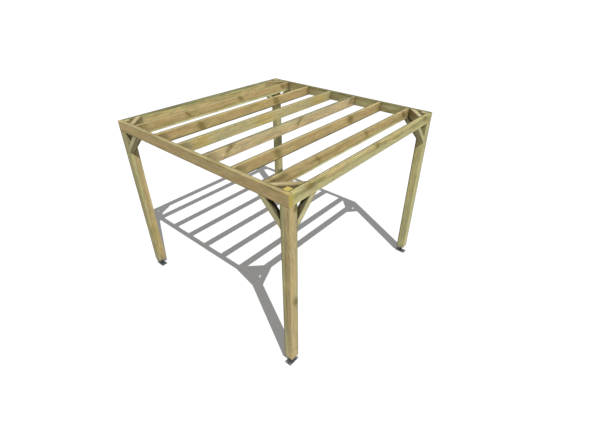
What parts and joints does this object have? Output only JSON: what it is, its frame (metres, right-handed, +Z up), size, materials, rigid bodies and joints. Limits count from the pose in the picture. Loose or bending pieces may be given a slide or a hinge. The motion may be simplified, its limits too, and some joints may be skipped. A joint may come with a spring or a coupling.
{
  "type": "flat-roofed wooden pergola frame",
  "caption": "Square flat-topped timber pergola: posts on raised steel feet, a box of beams, level rafters, knee braces and corner braces.",
  "frame": {"origin": "on the ground at the middle of the footprint", "axes": "+X along the rafters towards the right beam, +Y from the front beam to the back beam, +Z up"},
  "size_m": [3.037, 3.037, 2.438],
  "materials": {
    "post_timber": "planed, pressure treated, greenish tan",
    "beam_timber": "planed, pressure treated, greenish tan",
    "rafter_timber": "planed, pressure treated, greenish tan",
    "brace_timber": "planed, pressure treated, greenish tan",
    "foot_steel": "dull grey galvanised"
  },
  "bodies": {
    "root": {"back_beam": "beam_timber", "back_left_corner_brace": "brace_timber", "back_left_foot_base": "foot_steel", "back_left_foot_stem": "foot_steel", "back_left_knee_under_back_beam": "brace_timber", "back_left_knee_under_left_beam": "brace_timber", "back_left_post": "post_timber", "back_right_corner_brace": "brace_timber", "back_right_foot_base": "foot_steel", "back_right_foot_stem": "foot_steel", "back_right_knee_under_back_beam": "brace_timber", "back_right_knee_under_right_beam": "brace_timber", "back_right_post": "post_timber", "front_beam": "beam_timber", "front_left_corner_brace": "brace_timber", "front_left_foot_base": "foot_steel", "front_left_foot_stem": "foot_steel", "front_left_knee_under_front_beam": "brace_timber", "front_left_knee_under_left_beam": "brace_timber", "front_left_post": "post_timber", "front_right_corner_brace": "brace_timber", "front_right_foot_base": "foot_steel", "front_right_foot_stem": "foot_steel", "front_right_knee_under_front_beam": "brace_timber", "front_right_knee_under_right_beam": "brace_timber", "front_right_post": "post_timber", "left_beam": "beam_timber", "rafter_1": "rafter_timber", "rafter_2": "rafter_timber", "rafter_3": "rafter_timber", "rafter_4": "rafter_timber", "rafter_5": "rafter_timber", "rafter_6": "rafter_timber", "right_beam": "beam_timber"}
  },
  "joints": []
}
